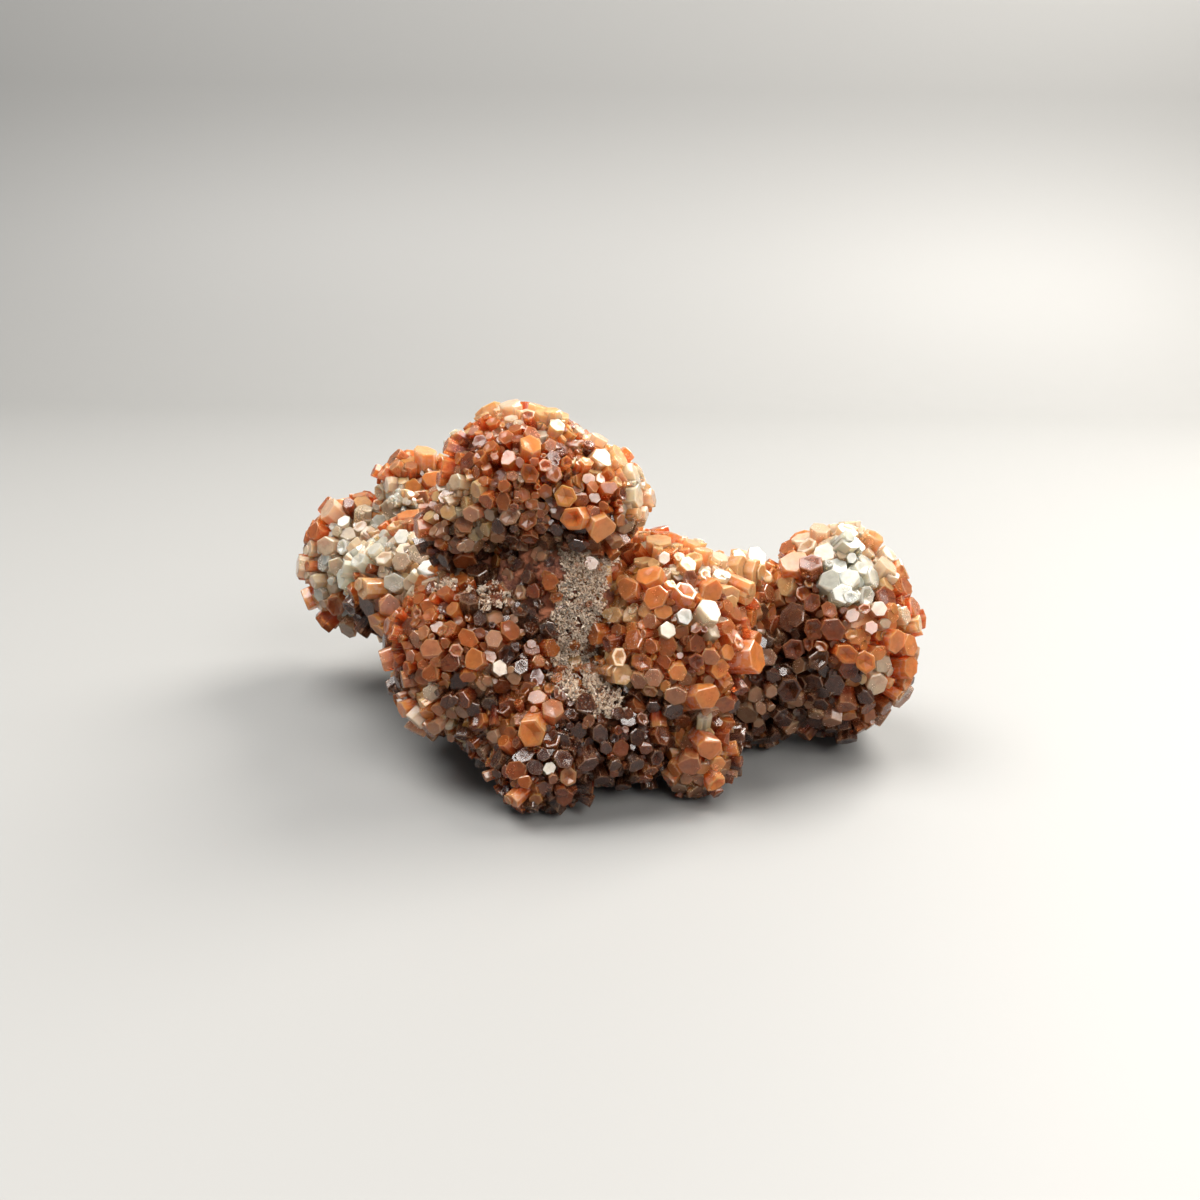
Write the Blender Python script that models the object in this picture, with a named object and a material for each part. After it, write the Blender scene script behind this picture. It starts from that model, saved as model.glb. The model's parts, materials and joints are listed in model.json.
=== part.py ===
"""An aragonite crystal cluster on its stony matrix, about 136 x 92 x 72 mm.

Short six-sided prisms radiate from several centres, so the cluster is a heap of
crystal-covered lobes grown into one piece. Rough matrix stone shows only in the
hollow under the crown. The frame is +Z up, +X to the right of the side with the
hollow, and the origin is on the floor under the middle of the bounding box.
"""

import math
import random
from collections import namedtuple

import bmesh
import bpy
from mathutils import Matrix, Vector, noise

MM = 0.001

# Driving dimensions, in millimetres.
CRYSTAL_PITCH = 7.6  # between the middles of neighbouring crystals
LOW_CRYSTAL_SHARE = 0.4  # these end level with the mass they grew from
CRYSTAL_SHORTEST = 1.2  # how far the others stand out of it
CRYSTAL_TALLEST = 4.0
CRYSTAL_LEAN = 0.1  # the most that an axis leans from straight out, as a slope
MATRIX_ROUGHNESS = 1.6  # how far the stone's lumps and dents reach
MATRIX_LUMP_PITCH = 7.0
MATRIX_GAP = 0.3  # between the matrix stone and the crystals round it

Lobe = namedtuple("Lobe", "name centre radii")
BigCrystal = namedtuple("BigCrystal", "lobe azimuth elevation width stands_out")

# Each lobe's radii reach the middle of its crystals' end faces.
LOBES = (
    Lobe("crown_left", (-14.2, -13.3, 56.8), (14.5, 16.0, 13.6)),
    Lobe("crown_right", (-4.0, -13.3, 53.5), (14.5, 15.0, 12.8)),
    Lobe("left_ball", (-51.5, 28.2, 28.0), (16.2, 16.5, 16.8)),
    Lobe("left_top", (-39.2, 26.2, 45.0), (10.0, 11.0, 10.0)),
    Lobe("left_neck", (-36.2, 4.2, 31.0), (16.0, 16.0, 13.5)),
    Lobe("left_shoulder", (-20.7, -13.8, 23.0), (20.0, 21.5, 19.5)),
    Lobe("right_shoulder", (14.3, -15.3, 27.0), (16.5, 22.0, 19.0)),
    Lobe("ridge", (26.3, -4.3, 29.5), (13.0, 12.0, 10.5)),
    Lobe("belly", (-2.7, -20.3, 13.0), (26.0, 20.0, 13.0)),
    Lobe("left_foot", (-9.2, -35.8, 7.6), (9.2, 8.2, 9.2)),
    Lobe("right_foot", (19.3, -29.3, 8.4), (7.8, 8.0, 9.2)),
    Lobe("right_neck", (32.3, -3.3, 16.0), (14.0, 15.0, 16.4)),
    Lobe("right_ball", (48.8, -1.8, 22.6), (17.2, 18.5, 23.0)),
    Lobe("back_left", (-25.2, 20.2, 20.5), (20.0, 20.0, 21.0)),
    Lobe("back_right", (8.8, 15.2, 19.5), (21.0, 18.0, 20.0)),
)

# Crystals that outgrew the rest. Azimuth 0 is towards +X and 270 towards the front.
BIG_CRYSTALS = (
    BigCrystal("right_shoulder", 300, 5, 8.0, 5.0),
    BigCrystal("right_shoulder", 275, -15, 7.0, 4.5),
    BigCrystal("right_shoulder", 235, 10, 6.5, 4.0),
    BigCrystal("left_shoulder", 290, -20, 7.5, 5.0),
    BigCrystal("left_neck", 225, 20, 7.0, 4.5),
    BigCrystal("left_ball", 175, 40, 6.0, 2.5),
    BigCrystal("left_ball", 195, -50, 6.0, 3.0),
    BigCrystal("crown_left", 150, 60, 6.0, 2.5),
    BigCrystal("crown_right", 330, -30, 6.5, 4.0),
    BigCrystal("ridge", 285, 60, 7.0, 4.0),
    BigCrystal("right_ball", 200, 40, 7.5, 4.5),
    BigCrystal("back_left", 110, 30, 7.5, 4.5),
    BigCrystal("back_right", 80, 35, 7.0, 4.5),
)

MATRIX_CENTRE = (-7.7, -16.3, 34.0)
MATRIX_RADII = (15.0, 12.0, 17.0)


def clear_scene():
    for thing in list(bpy.data.objects):
        bpy.data.objects.remove(thing)


def collection(name):
    made = bpy.data.collections.new(name)
    bpy.context.scene.collection.children.link(made)
    return made


def mesh_object(name, bm, where):
    """Links a new object for a mesh drawn in millimetres."""
    bm.transform(Matrix.Scale(MM, 4))
    mesh = bpy.data.meshes.new(name)
    bm.to_mesh(mesh)
    bm.free()
    made = bpy.data.objects.new(name, mesh)
    where.objects.link(made)
    return made


def hide_as_helper(thing):
    thing.hide_render = True
    thing.display_type = "WIRE"


def material(name, colour, roughness):
    made = bpy.data.materials.new(name)
    made.use_nodes = True
    shader = made.node_tree.nodes["Principled BSDF"]
    shader.inputs["Base Color"].default_value = (*colour, 1)
    shader.inputs["Roughness"].default_value = roughness
    return made


def cell_maker():
    """A node group that turns each point of a triangle mesh into a many-sided cell."""
    tree = bpy.data.node_groups.new("cells", "GeometryNodeTree")
    for in_out in ("INPUT", "OUTPUT"):
        tree.interface.new_socket("Geometry", in_out=in_out, socket_type="NodeSocketGeometry")
    start = tree.nodes.new("NodeGroupInput")
    dual = tree.nodes.new("GeometryNodeDualMesh")
    end = tree.nodes.new("NodeGroupOutput")
    tree.links.new(start.outputs[0], dual.inputs[0])
    tree.links.new(dual.outputs[0], end.inputs[0])
    return tree


def evaluated(thing):
    """The object's mesh with its modifiers applied, as a new bmesh in millimetres."""
    graph = bpy.context.evaluated_depsgraph_get()
    bm = bmesh.new()
    bm.from_mesh(thing.evaluated_get(graph).to_mesh())
    bm.transform(Matrix.Scale(1 / MM, 4))
    return bm


def scattered_directions(count, rng):
    """Directions spread over the sphere on a spiral, each nudged so that no pattern shows."""
    turn = math.pi * (3 - math.sqrt(5))
    nudge = 0.6 / math.sqrt(count)
    for i in range(count):
        height = 1 - (2 * i + 1) / count
        across = math.sqrt(1 - height * height)
        way = Vector((across * math.cos(i * turn), across * math.sin(i * turn), height))
        yield (way + Vector(rng.gauss(0, nudge) for _ in range(3))).normalized()


def crystal_lobe(lobe, cells, where):
    """One lobe: its surface parted into cells, and most of them drawn out into flat-ended prisms."""
    rng = random.Random(lobe.name)
    centre = Vector(lobe.centre)
    mean_out = (1 - LOW_CRYSTAL_SHARE) * (CRYSTAL_SHORTEST + CRYSTAL_TALLEST) / 2
    radii = Vector(lobe.radii) - Vector((mean_out,) * 3)
    area = 4 * math.pi * (radii.x * radii.y * radii.z) ** (2 / 3)
    count = round(area / (CRYSTAL_PITCH**2 * math.sqrt(3) / 2))

    bm = bmesh.new()
    for way in scattered_directions(count, rng):
        bm.verts.new(centre + way * radii)
    bmesh.ops.convex_hull(bm, input=bm.verts)
    seeds = mesh_object(lobe.name + "_seeds", bm, where)
    seeds.modifiers.new("Cells", "NODES").node_group = cells
    bm = evaluated(seeds)
    bpy.data.objects.remove(seeds)
    for corner in bm.verts:
        out = corner.co - centre
        corner.co = centre + out / Vector(a / r for a, r in zip(out, radii)).length

    standing = [face for face in bm.faces if rng.random() > LOW_CRYSTAL_SHARE]
    for top in bmesh.ops.extrude_discrete_faces(bm, faces=standing)["faces"]:
        foot = top.calc_center_median()
        lean = Vector(rng.uniform(-CRYSTAL_LEAN, CRYSTAL_LEAN) for _ in range(3))
        axis = ((foot - centre).normalized() + lean).normalized()
        height = rng.uniform(CRYSTAL_SHORTEST, CRYSTAL_TALLEST)
        for corner in top.verts:
            corner.co += axis * (height - (corner.co - foot).dot(axis))
    bmesh.ops.recalc_face_normals(bm, faces=bm.faces)
    return mesh_object(lobe.name, bm, where)


def big_crystal(crystal, where):
    """A hexagonal prism along its lobe's radius, rooted well inside the lobe."""
    lobe = next(lobe for lobe in LOBES if lobe.name == crystal.lobe)
    azimuth = math.radians(crystal.azimuth)
    elevation = math.radians(crystal.elevation)
    level = math.cos(elevation)
    axis = Vector((level * math.cos(azimuth), level * math.sin(azimuth), math.sin(elevation)))
    scaled = Vector(a / r for a, r in zip(axis, lobe.radii))
    end = Vector(lobe.centre) + axis * (1 / scaled.length + crystal.stands_out)
    length = 2 * crystal.width
    place = Matrix.Translation(end - axis * length / 2) @ axis.to_track_quat("Z", "Y").to_matrix().to_4x4()
    bm = bmesh.new()
    radius = crystal.width / 2
    bmesh.ops.create_cone(
        bm, cap_ends=True, segments=6, radius1=radius, radius2=radius, depth=length, matrix=place
    )
    return mesh_object(f"big_crystal_{crystal.lobe}_{crystal.azimuth}", bm, where)


def matrix_stone(name, grown_by, where):
    """The rough lump, or its outline grown by a clearance, for the pocket it sits in."""
    bm = bmesh.new()
    bmesh.ops.create_icosphere(bm, subdivisions=3, radius=1)
    for corner in bm.verts:
        way = corner.co.normalized()
        at = way * Vector(MATRIX_RADII)
        lump = noise.noise(at / MATRIX_LUMP_PITCH) + 0.5 * noise.noise(at * 2 / MATRIX_LUMP_PITCH)
        corner.co = Vector(MATRIX_CENTRE) + at + way * (MATRIX_ROUGHNESS * lump + grown_by)
    return mesh_object(name, bm, where)


def floor_cutter(where):
    """Takes off what would reach below the floor, which leaves the flats that the cluster rests on."""
    bm = bmesh.new()
    bmesh.ops.create_cube(bm, size=200, matrix=Matrix.Translation((0, 0, -100)))
    return mesh_object("floor", bm, where)


def boolean(thing, operation, other):
    cut = thing.modifiers.new(other.name, "BOOLEAN")
    cut.operation = operation
    cut.solver = "MANIFOLD"  # the exact solver drops lobes from a union of this many
    if isinstance(other, bpy.types.Collection):
        cut.operand_type = "COLLECTION"
        cut.collection = other
    else:
        cut.object = other


def keep_outer_surface(thing):
    """Applies the modifiers, and fills pockets shut in between lobes by dropping their walls."""
    bm = evaluated(thing)
    thing.modifiers.clear()
    waiting = set(bm.faces)
    shells = []
    while waiting:
        shell = [waiting.pop()]
        for face in shell:
            for neighbour in {other for edge in face.edges for other in edge.link_faces} & waiting:
                waiting.remove(neighbour)
                shell.append(neighbour)
        shells.append(shell)
    outer = max(shells, key=len)
    inner = [face for shell in shells if shell is not outer for face in shell]
    bmesh.ops.delete(bm, geom=inner, context="FACES")
    bm.transform(Matrix.Scale(MM, 4))
    bm.to_mesh(thing.data)
    bm.free()


def main():
    clear_scene()
    model = collection("aragonite_cluster")
    growths = collection("growths")
    cutters = collection("cutters")

    cells = cell_maker()
    bodies = [crystal_lobe(lobe, cells, growths) for lobe in LOBES[1:]]
    bodies += [big_crystal(crystal, growths) for crystal in BIG_CRYSTALS]
    crystals = crystal_lobe(LOBES[0], cells, model)
    crystals.name = "crystals"
    boolean(crystals, "UNION", growths)
    pocket = matrix_stone("matrix_pocket", MATRIX_GAP, cutters)
    boolean(crystals, "DIFFERENCE", pocket)
    floor = floor_cutter(cutters)
    boolean(crystals, "DIFFERENCE", floor)
    for helper in [*bodies, pocket, floor]:
        hide_as_helper(helper)
    keep_outer_surface(crystals)
    crystals.data.materials.append(material("aragonite", (0.5, 0.17, 0.06), 0.3))

    matrix = matrix_stone("matrix", 0, model)
    matrix.data.materials.append(material("matrix_stone", (0.12, 0.04, 0.02), 0.85))


main()
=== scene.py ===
# %% [markdown]
# # An aragonite crystal cluster
# Aragonite often grows as stubby six-sided prisms that radiate from a few centres, so a cluster
# looks like several spiny balls grown into one. The solid model already has those lobes, with
# coarse crystals. Here each lobe is grown again with thousands of crystals at their real width,
# and the rough stone in the hollow gets its broken surface and its dusting of tiny crystals.

# %% The solid model
import json
import math
import random
from collections import namedtuple

import bmesh
import bpy
import numpy as np
from mathutils import Matrix, Vector, noise

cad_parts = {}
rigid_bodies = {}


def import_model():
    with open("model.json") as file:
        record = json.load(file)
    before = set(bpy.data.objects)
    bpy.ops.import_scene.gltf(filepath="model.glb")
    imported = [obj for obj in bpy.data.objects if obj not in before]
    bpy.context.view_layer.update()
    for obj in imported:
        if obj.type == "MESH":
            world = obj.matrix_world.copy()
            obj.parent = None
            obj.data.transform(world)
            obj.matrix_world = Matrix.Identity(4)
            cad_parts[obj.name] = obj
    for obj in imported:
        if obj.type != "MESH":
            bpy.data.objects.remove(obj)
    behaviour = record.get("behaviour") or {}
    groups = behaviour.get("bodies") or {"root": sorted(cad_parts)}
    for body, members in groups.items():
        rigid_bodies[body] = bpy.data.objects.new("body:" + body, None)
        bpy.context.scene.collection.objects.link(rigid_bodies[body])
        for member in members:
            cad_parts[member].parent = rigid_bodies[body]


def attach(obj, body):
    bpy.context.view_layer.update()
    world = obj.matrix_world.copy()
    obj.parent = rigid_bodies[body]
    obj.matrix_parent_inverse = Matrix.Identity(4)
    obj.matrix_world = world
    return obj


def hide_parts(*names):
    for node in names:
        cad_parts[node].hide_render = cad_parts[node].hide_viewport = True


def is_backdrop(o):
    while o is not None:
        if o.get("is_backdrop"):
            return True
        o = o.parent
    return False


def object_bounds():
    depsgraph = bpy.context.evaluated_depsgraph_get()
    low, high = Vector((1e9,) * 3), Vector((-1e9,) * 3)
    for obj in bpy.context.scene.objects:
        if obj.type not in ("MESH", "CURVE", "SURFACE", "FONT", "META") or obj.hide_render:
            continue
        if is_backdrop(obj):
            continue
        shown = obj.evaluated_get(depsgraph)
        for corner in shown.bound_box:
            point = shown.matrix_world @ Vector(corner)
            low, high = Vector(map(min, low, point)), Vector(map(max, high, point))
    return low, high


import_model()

cad_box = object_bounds()
MM = 0.001
print("solid model, mm:", [round((high - low) / MM, 1) for low, high in zip(*cad_box)])

# %% [markdown]
# ## The camera
# The view looks slightly down at the side with the hollow. A short lens held close makes the near
# crystals larger than the far ones, so the distance matters as much as the lens does.

# %% Camera
CAMERA_PLACE = Vector((0.9, -236.3, 106.0)) * MM
LOOKS_DOWN = math.radians(18.03)
LEANS = math.radians(0.79)


def add_object(name, data):
    """Puts a new object with this data into the scene."""
    made = bpy.data.objects.new(name, data)
    bpy.context.scene.collection.objects.link(made)
    return made


camera = add_object("camera", bpy.data.cameras.new("camera"))
camera.data.lens = 36
camera.data.sensor_width = 36
camera.data.clip_start = 0.01
camera.matrix_world = (
    Matrix.Translation(CAMERA_PLACE)
    @ Matrix.Rotation(math.pi / 2 - LOOKS_DOWN, 4, "X")
    @ Matrix.Rotation(LEANS, 4, "Z")
)
bpy.context.scene.camera = camera
print("camera to cluster, mm:", round(camera.location.length / MM))

# %% [markdown]
# ## The lobes
# The lobes follow the ellipsoids that the solid model was made from, in millimetres. Four of them
# are up to 1.2 mm smaller, because their crystals stand out from the surface, and a small lobe is
# added at the crown's side. Each lobe has the width of its usual crystals: the two balls and the
# back have the widest, and the crown the finest.

# %% Lobes
Lobe = namedtuple("Lobe", "centre radii crystal_width piece")

LOBES = {
    "crown_left": Lobe((-14.2, -13.3, 56.8), (14.2, 16.0, 13.3), 2.6, "crown_crystals"),
    "crown_right": Lobe((-4.0, -13.3, 53.5), (13.5, 15.0, 11.6), 2.7, "crown_crystals"),
    "crown_side": Lobe((-25.0, -14.5, 48.5), (8.0, 9.0, 9.0), 2.8, "crown_crystals"),
    "left_ball": Lobe((-51.5, 28.2, 28.0), (15.2, 16.5, 15.8), 3.7, "left_ball_crystals"),
    "left_top": Lobe((-39.2, 26.2, 45.0), (10.0, 11.0, 10.0), 3.6, "left_ball_crystals"),
    "left_neck": Lobe((-36.2, 4.2, 31.0), (16.0, 16.0, 13.5), 3.5, "left_ball_crystals"),
    "left_shoulder": Lobe((-20.7, -13.8, 23.0), (20.0, 21.5, 19.5), 3.0, "left_shoulder_crystals"),
    "right_shoulder": Lobe((14.3, -15.3, 27.0), (16.5, 22.0, 19.0), 3.2, "right_shoulder_crystals"),
    "ridge": Lobe((26.3, -4.3, 29.5), (13.0, 12.0, 10.5), 3.6, "right_shoulder_crystals"),
    "belly": Lobe((-2.7, -20.3, 13.0), (26.0, 20.0, 13.0), 2.9, "base_crystals"),
    "left_foot": Lobe((-9.2, -35.8, 7.6), (9.2, 8.2, 9.2), 3.0, "base_crystals"),
    "right_foot": Lobe((19.3, -29.3, 8.4), (7.8, 8.0, 9.2), 3.1, "base_crystals"),
    "right_neck": Lobe((32.3, -3.3, 16.0), (14.0, 15.0, 16.4), 3.2, "right_ball_crystals"),
    "right_ball": Lobe((48.8, -1.8, 22.6), (16.6, 18.5, 22.4), 3.8, "right_ball_crystals"),
    "back_left": Lobe((-25.2, 20.2, 20.5), (20.0, 20.0, 21.0), 3.9, "back_crystals"),
    "back_right": Lobe((8.8, 15.2, 19.5), (21.0, 18.0, 20.0), 3.9, "back_crystals"),
}

# The stone in the hollow, where few crystals grew, and the two lumps on it that stay bare.
STONE = Lobe((-7.7, -16.3, 34.0), (15.0, 12.0, 17.0), 2.4, "hollow_crystals")
KNOBS = (
    ((-21.0, -15.5, 40.0), (6.5, 5.0, 4.6)),
    ((-9.5, -22.0, 37.0), (4.0, 6.4, 7.5)),
)


def reach(point, centre, radii):
    """How far out a point lies in an ellipsoid: 0 at the centre and 1 on the surface."""
    return float(np.linalg.norm((np.asarray(point) - centre) / radii))


print("lobes:", len(LOBES))

# %% [markdown]
# ## Colours
# Iron stains the crystals. Each takes one colour from a short list, so neighbours differ as real
# ones do. The patches come first: round zones with a list of their own, such as the pale green on
# both balls, or the dark zone under the crown, which is partly painted shade. Elsewhere the
# crystal's direction picks the list, which paints light and shade into the colours: honey, cream
# and orange on top as painted light, brick and rust in front, umber low down or facing down as
# painted shade, and a mix at the back.

# %% Palette
PALETTE = {
    "brick": (0.97, 0.32, 0.068),
    "rust": (0.52, 0.145, 0.034),
    "orange": (1.0, 0.36, 0.085),
    "honey": (1.0, 0.58, 0.25),
    "cream": (1.0, 0.77, 0.54),
    "celadon": (0.88, 0.89, 0.77),
    "smoke": (0.80, 0.42, 0.23),
    "rose": (1.0, 0.46, 0.20),
    "umber": (0.18, 0.060, 0.024),
    "glass": (1.0, 0.72, 0.48),
    "sugar": (0.95, 0.76, 0.56),
}
PALE = ("cream", "celadon", "honey", "glass", "sugar")

Patch = namedtuple("Patch", "centre radius colours")

PATCHES = (
    # right ball
    Patch((50.5, -14.0, 40.0), 8.0, ("celadon", "celadon", "glass", "celadon")),
    Patch((56.0, -8.0, 40.0), 6.0, ("celadon", "cream", "honey")),
    Patch((47.0, -4.0, 45.0), 8.0, ("honey", "cream", "cream")),
    Patch((38.5, -8.0, 39.5), 6.0, ("orange", "orange", "honey")),
    Patch((59.0, -15.0, 25.0), 10.5, ("orange", "honey", "orange", "cream")),
    # painted shade: umber and rust low on the ball's front, where the right shoulder shades it
    Patch((39.0, -17.0, 14.0), 10.0, ("umber", "umber", "umber", "smoke")),
    Patch((37.0, -16.0, 24.0), 8.0, ("rust", "umber", "smoke", "rust")),
    Patch((52.0, -18.5, 12.0), 8.0, ("rust", "umber", "brick")),
    # left ball, top and neck
    Patch((-54.0, 12.0, 32.0), 13.0, ("celadon", "celadon", "glass", "cream")),
    Patch((-46.0, 16.0, 43.0), 9.0, ("cream", "cream", "celadon", "honey")),
    Patch((-48.5, 2.0, 37.0), 8.0, ("celadon", "cream", "celadon")),
    Patch((-64.5, 19.0, 27.0), 9.0, ("cream", "honey", "rose", "glass")),
    Patch((-55.0, 17.0, 19.0), 13.0, ("rose", "smoke", "glass", "rose", "honey")),
    Patch((-38.8, -7.0, 38.5), 8.5, ("cream", "celadon", "cream", "honey")),
    Patch((-33.5, -3.5, 42.5), 7.0, ("glass", "cream", "rose")),
    Patch((-41.0, -10.8, 32.0), 5.5, ("orange", "honey", "brick")),
    Patch((-37.5, 19.0, 51.0), 9.5, ("honey", "orange", "orange", "rose")),
    # crown
    # dark crystals under the crown's overhang, made darker still as painted shade
    Patch((-12.0, -24.5, 46.5), 8.0, ("umber", "umber", "smoke", "rust")),
    Patch((-2.5, -26.5, 47.0), 6.0, ("umber", "rust", "smoke")),
    Patch((-17.0, -26.0, 39.0), 8.0, ("umber", "umber", "rust", "smoke")),
    Patch((-12.5, -31.0, 31.0), 7.0, ("umber", "rust", "smoke", "brick")),
    Patch((-24.0, -22.0, 53.0), 8.5, ("smoke", "glass", "rose", "glass", "glass", "honey")),
    Patch((9.5, -18.0, 55.5), 8.5, ("cream", "honey", "honey", "glass")),
    # shoulders and ridge
    Patch((26.0, -6.0, 40.0), 9.0, ("honey", "honey", "glass", "cream")),
    Patch((17.0, -22.0, 44.5), 8.0, ("honey", "honey", "cream", "orange")),
    # orange crystals, made paler with honey as painted light where the crown shades them
    Patch((6.5, -28.0, 39.5), 7.5, ("orange", "orange", "honey")),
    Patch((24.0, -32.0, 27.0), 7.5, ("orange", "brick", "rose")),
    # orange crystals, made paler with honey as painted light where they lie in shade
    Patch((3.4, -31.9, 26.4), 4.5, ("honey", "orange", "honey")),
    Patch((12.0, -36.8, 29.0), 7.0, ("rose", "brick", "smoke", "orange")),
    # low front
    Patch((-30.5, -30.0, 14.0), 9.0, ("rose", "cream", "smoke", "orange", "honey")),
    # dark crystals low at the front under the belly, made darker still as painted shade
    Patch((2.0, -39.0, 13.0), 14.0, ("umber", "umber", "umber", "rust", "rust", "umber")),
    Patch((-9.0, -43.0, 7.0), 8.0, ("rust", "umber", "brick", "rust")),
    Patch((19.5, -37.0, 9.0), 7.0, ("orange", "brick", "rose")),
)

# painted light and shade: SUNNY gives pale warm colours to crystals facing up, SHADED gives dark ones to
# crystals facing down or low down
SUNNY = ("honey", "cream", "honey", "orange", "orange", "brick")
FRONT = ("brick", "brick", "brick", "rose", "brick", "rust", "brick", "brick", "rust")
SHADED = ("umber", "umber", "rust", "rust", "umber", "smoke", "umber", "brick")
BACKS = ("brick", "orange", "honey", "rust", "orange", "rose")


def crystal_colour(tip, way, rng):
    """The colour of a crystal with this tip and direction, as a name from the palette."""
    for patch in PATCHES:
        if (Vector(tip) - Vector(patch.centre)).length < patch.radius * rng.uniform(0.75, 1.1):
            return rng.choice(patch.colours)
    sunny = 0.85 * way[2] + 0.30 * way[1] + 0.25 * way[0] + rng.gauss(0, 0.12)
    if sunny > 0.62:
        return rng.choice(SUNNY)
    if way[1] > 0.35:
        return rng.choice(BACKS)
    low = (24 - tip[2]) / 24 + rng.gauss(0, 0.25)
    if way[2] < -0.15 + 0.2 * rng.random() or low > 0.5:
        return rng.choice(SHADED)
    return rng.choice(FRONT)


print("palette:", len(PALETTE), "colours,", len(PATCHES), "patches")

# %% [markdown]
# ## Shader node groups
# Every crystal carries a few numbers of its own: its tint, a seed, how close a point is to the rim
# of the end face, and how far it lies below that end. One group turns them into the colour of a
# grown crystal, with light and shade painted in: a darker core and a paler rim, partly real zoning
# and partly painted shade and light, a painted sheen on the end, cloudy veils, paler stripes,
# painted highlights on the edges near the tip, and painted shade deeper down, where less light gets in.

# %% Group helpers
class Group:
    """A shader node group under construction."""

    def __init__(self, name, inputs, outputs):
        self.tree = bpy.data.node_groups.new(name, "ShaderNodeTree")
        kinds = {"colour": "NodeSocketColor", "value": "NodeSocketFloat"}
        for title, (kind, start) in inputs.items():
            socket = self.tree.interface.new_socket(title, in_out="INPUT", socket_type=kinds[kind])
            socket.default_value = start
        for title, kind in outputs.items():
            self.tree.interface.new_socket(title, in_out="OUTPUT", socket_type=kinds[kind])
        self.inside = self.tree.nodes.new("NodeGroupInput")
        self.outside = self.tree.nodes.new("NodeGroupOutput")

    def give(self, title, source):
        self.tree.links.new(source, self.outside.inputs[title])


def feed(tree, socket, value):
    """Links a socket to its source, or sets it if the value is plain."""
    if isinstance(value, bpy.types.NodeSocket):
        tree.links.new(value, socket)
    else:
        socket.default_value = value


def math_node(tree, operation, first, second=0.0, clamp=False):
    node = tree.nodes.new("ShaderNodeMath")
    node.operation = operation
    node.use_clamp = clamp
    feed(tree, node.inputs[0], first)
    feed(tree, node.inputs[1], second)
    return node.outputs[0]


def product(tree, first, second):
    return math_node(tree, "MULTIPLY", first, second)


def mix_colour(tree, factor, first, second, blend="MIX"):
    node = tree.nodes.new("ShaderNodeMix")
    node.data_type = "RGBA"
    node.blend_type = blend
    feed(tree, node.inputs[0], factor)
    feed(tree, node.inputs[6], first)
    feed(tree, node.inputs[7], second)
    return node.outputs[2]


def ramp(tree, value, low, high, out_low=0.0, out_high=1.0):
    """Maps a value from one range to another with a smooth step."""
    node = tree.nodes.new("ShaderNodeMapRange")
    node.interpolation_type = "SMOOTHSTEP"
    for socket, number in zip(node.inputs[1:5], (low, high, out_low, out_high)):
        socket.default_value = number
    feed(tree, node.inputs[0], value)
    return node.outputs[0]


def noise_node(tree, vector, scale, detail=2.0, roughness=0.5):
    node = tree.nodes.new("ShaderNodeTexNoise")
    feed(tree, node.inputs["Vector"], vector)
    feed(tree, node.inputs["Scale"], scale)
    node.inputs["Detail"].default_value = detail
    node.inputs["Roughness"].default_value = roughness
    return node.outputs[0]


def place_group(tree, group, inputs):
    node = tree.nodes.new("ShaderNodeGroup")
    node.node_tree = group
    for title, value in inputs.items():
        feed(tree, node.inputs[title], value)
    return node


def object_place(tree):
    return tree.nodes.new("ShaderNodeTexCoord").outputs["Object"]


def shifted(tree, vector, seed):
    """Moves a pattern by the crystal's seed, so that no two crystals share it."""
    node = tree.nodes.new("ShaderNodeVectorMath")
    node.operation = "ADD"
    feed(tree, node.inputs[0], vector)
    feed(tree, node.inputs[1], seed)
    return node.outputs[0]


def bump_node(tree, height, strength, distance):
    node = tree.nodes.new("ShaderNodeBump")
    node.inputs["Strength"].default_value = strength
    node.inputs["Distance"].default_value = distance
    feed(tree, node.inputs["Height"], height)
    return node.outputs[0]

# %% Crystal body group
DEEPER_STAIN = (0.60, 0.46, 0.40, 1)  # these four are multiplied with the colour
# painted sheen: the end faces are dulled towards mauve, as if they reflected the room
PAINTED_END_SHEEN = (0.68, 0.58, 0.62, 1)
# a darker core, partly real zoning and partly painted shade where one looks down into the crystal
DARK_CORE_AND_SHADE = (0.20, 0.15, 0.16, 1)
# painted shade at the roots, between the crystals
ROOT_SHADE = (0.30, 0.20, 0.17, 1)
# pale stripes along the sides, and painted highlights on the edges near the tip
PALE_STRIPE_AND_EDGE_HIGHLIGHT = (1.0, 0.66, 0.40, 1)
CLOUD = (0.96, 0.94, 0.90, 1)


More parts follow.
